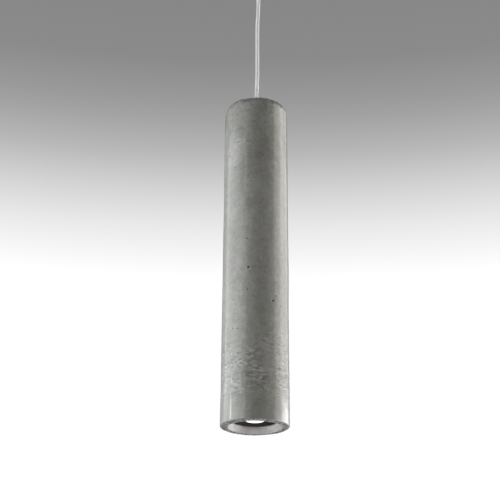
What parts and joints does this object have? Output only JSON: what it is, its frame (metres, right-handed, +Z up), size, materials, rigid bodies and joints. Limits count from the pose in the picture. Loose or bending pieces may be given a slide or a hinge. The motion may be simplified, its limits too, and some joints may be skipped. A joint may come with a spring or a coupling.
{
  "type": "pendant ceiling light",
  "caption": "Slim round concrete tube pendant light on a clear twin-core cord, with a ceiling cup and a twist-lock spot lamp in its mouth.",
  "frame": {"origin": "middle of the ceiling bracket's top face, which lies on the ceiling", "axes": "+Z up into the ceiling, the pendant hangs towards -Z; +X runs along the bracket to the right side screw"},
  "size_m": [0.1108, 0.1, 0.646],
  "materials": {
    "concrete": "cast concrete with a thin satin lacquer",
    "satin_nickel": "satin nickel plate",
    "zinc_steel": "bright zinc plate",
    "brass": "machined",
    "nylon": "moulded natural nylon",
    "ceramic": "unglazed steatite",
    "clear_cord": "clear sheath over two tinned cores",
    "brown_wire": "wire insulation",
    "blue_wire": "wire insulation",
    "lamp_aluminium": "satin",
    "lamp_base_plastic": "moulded",
    "dark_bezel": "satin moulded black",
    "frosted_lens": "frosted, lit from behind",
    "board": "white coated board"
  },
  "bodies": {
    "ceiling_plate": {"ceiling_bracket": "zinc_steel", "canopy_screw_left": "satin_nickel", "canopy_screw_right": "satin_nickel", "terminal_block": "nylon", "terminal_clamp_live": "brass", "terminal_clamp_neutral": "brass", "terminal_screw_1": "zinc_steel", "terminal_screw_2": "zinc_steel", "terminal_screw_3": "zinc_steel", "terminal_screw_4": "zinc_steel", "block_screw": "zinc_steel", "canopy_lead_live": "brown_wire", "canopy_lead_neutral": "blue_wire"},
    "canopy": {"canopy_cup": "satin_nickel", "canopy_gland": "satin_nickel", "gland_grub_screw": "zinc_steel", "canopy_washer": "zinc_steel", "canopy_lock_nut": "zinc_steel", "cord_stop": "nylon", "cord_stop_screw": "zinc_steel", "canopy_cord_tail": "clear_cord"},
    "cord_upper": {"cord_bend": "clear_cord"},
    "cord_lower": {"cord": "clear_cord"},
    "pendant": {"concrete_body": "concrete", "top_washer": "satin_nickel", "top_cord_grip": "satin_nickel", "top_grip_screw": "zinc_steel", "stem_tube": "zinc_steel", "inner_washer": "zinc_steel", "inner_lock_nut": "zinc_steel", "inner_cord": "clear_cord", "holder_bridge": "zinc_steel", "stem_nut_upper": "zinc_steel", "stem_nut_lower": "zinc_steel", "lamp_holder": "ceramic", "holder_screw_left": "zinc_steel", "holder_screw_right": "zinc_steel", "contact_live": "brass", "contact_neutral": "brass", "holder_lead_live": "brown_wire", "holder_lead_neutral": "blue_wire"},
    "lamp": {"lamp_body": "lamp_aluminium", "lamp_base": "lamp_base_plastic", "lamp_pin_left": "brass", "lamp_pin_right": "brass", "lamp_bezel": "dark_bezel", "lamp_lens": "frosted_lens", "led_board": "board"}
  },
  "joints": [
    {"name": "canopy_drop", "type": "slide", "parent": "ceiling_plate", "child": "canopy", "axis": [0, 0, 1], "range_m": [-0.03, 0], "deforming": ["canopy_lead_live", "canopy_lead_neutral"]},
    {"name": "swing_side", "type": "hinge", "parent": "canopy", "child": "cord_upper", "pos_m": [0, 0, -0.044], "axis": [0, 1, 0], "range_deg": [-35, 35], "deforming": ["cord_bend"]},
    {"name": "swing_front", "type": "hinge", "parent": "cord_upper", "child": "cord_lower", "pos_m": [0, 0, -0.044], "axis": [1, 0, 0], "range_deg": [-35, 35]},
    {"name": "pendant_turn", "type": "hinge", "parent": "cord_lower", "child": "pendant", "pos_m": [0, 0, -0.229], "axis": [0, 0, 1], "range_deg": [-180, 180]},
    {"name": "lamp_twist", "type": "hinge", "parent": "pendant", "child": "lamp", "pos_m": [0, 0, -0.589], "axis": [0, 0, 1], "range_deg": [0, 45]}
  ]
}
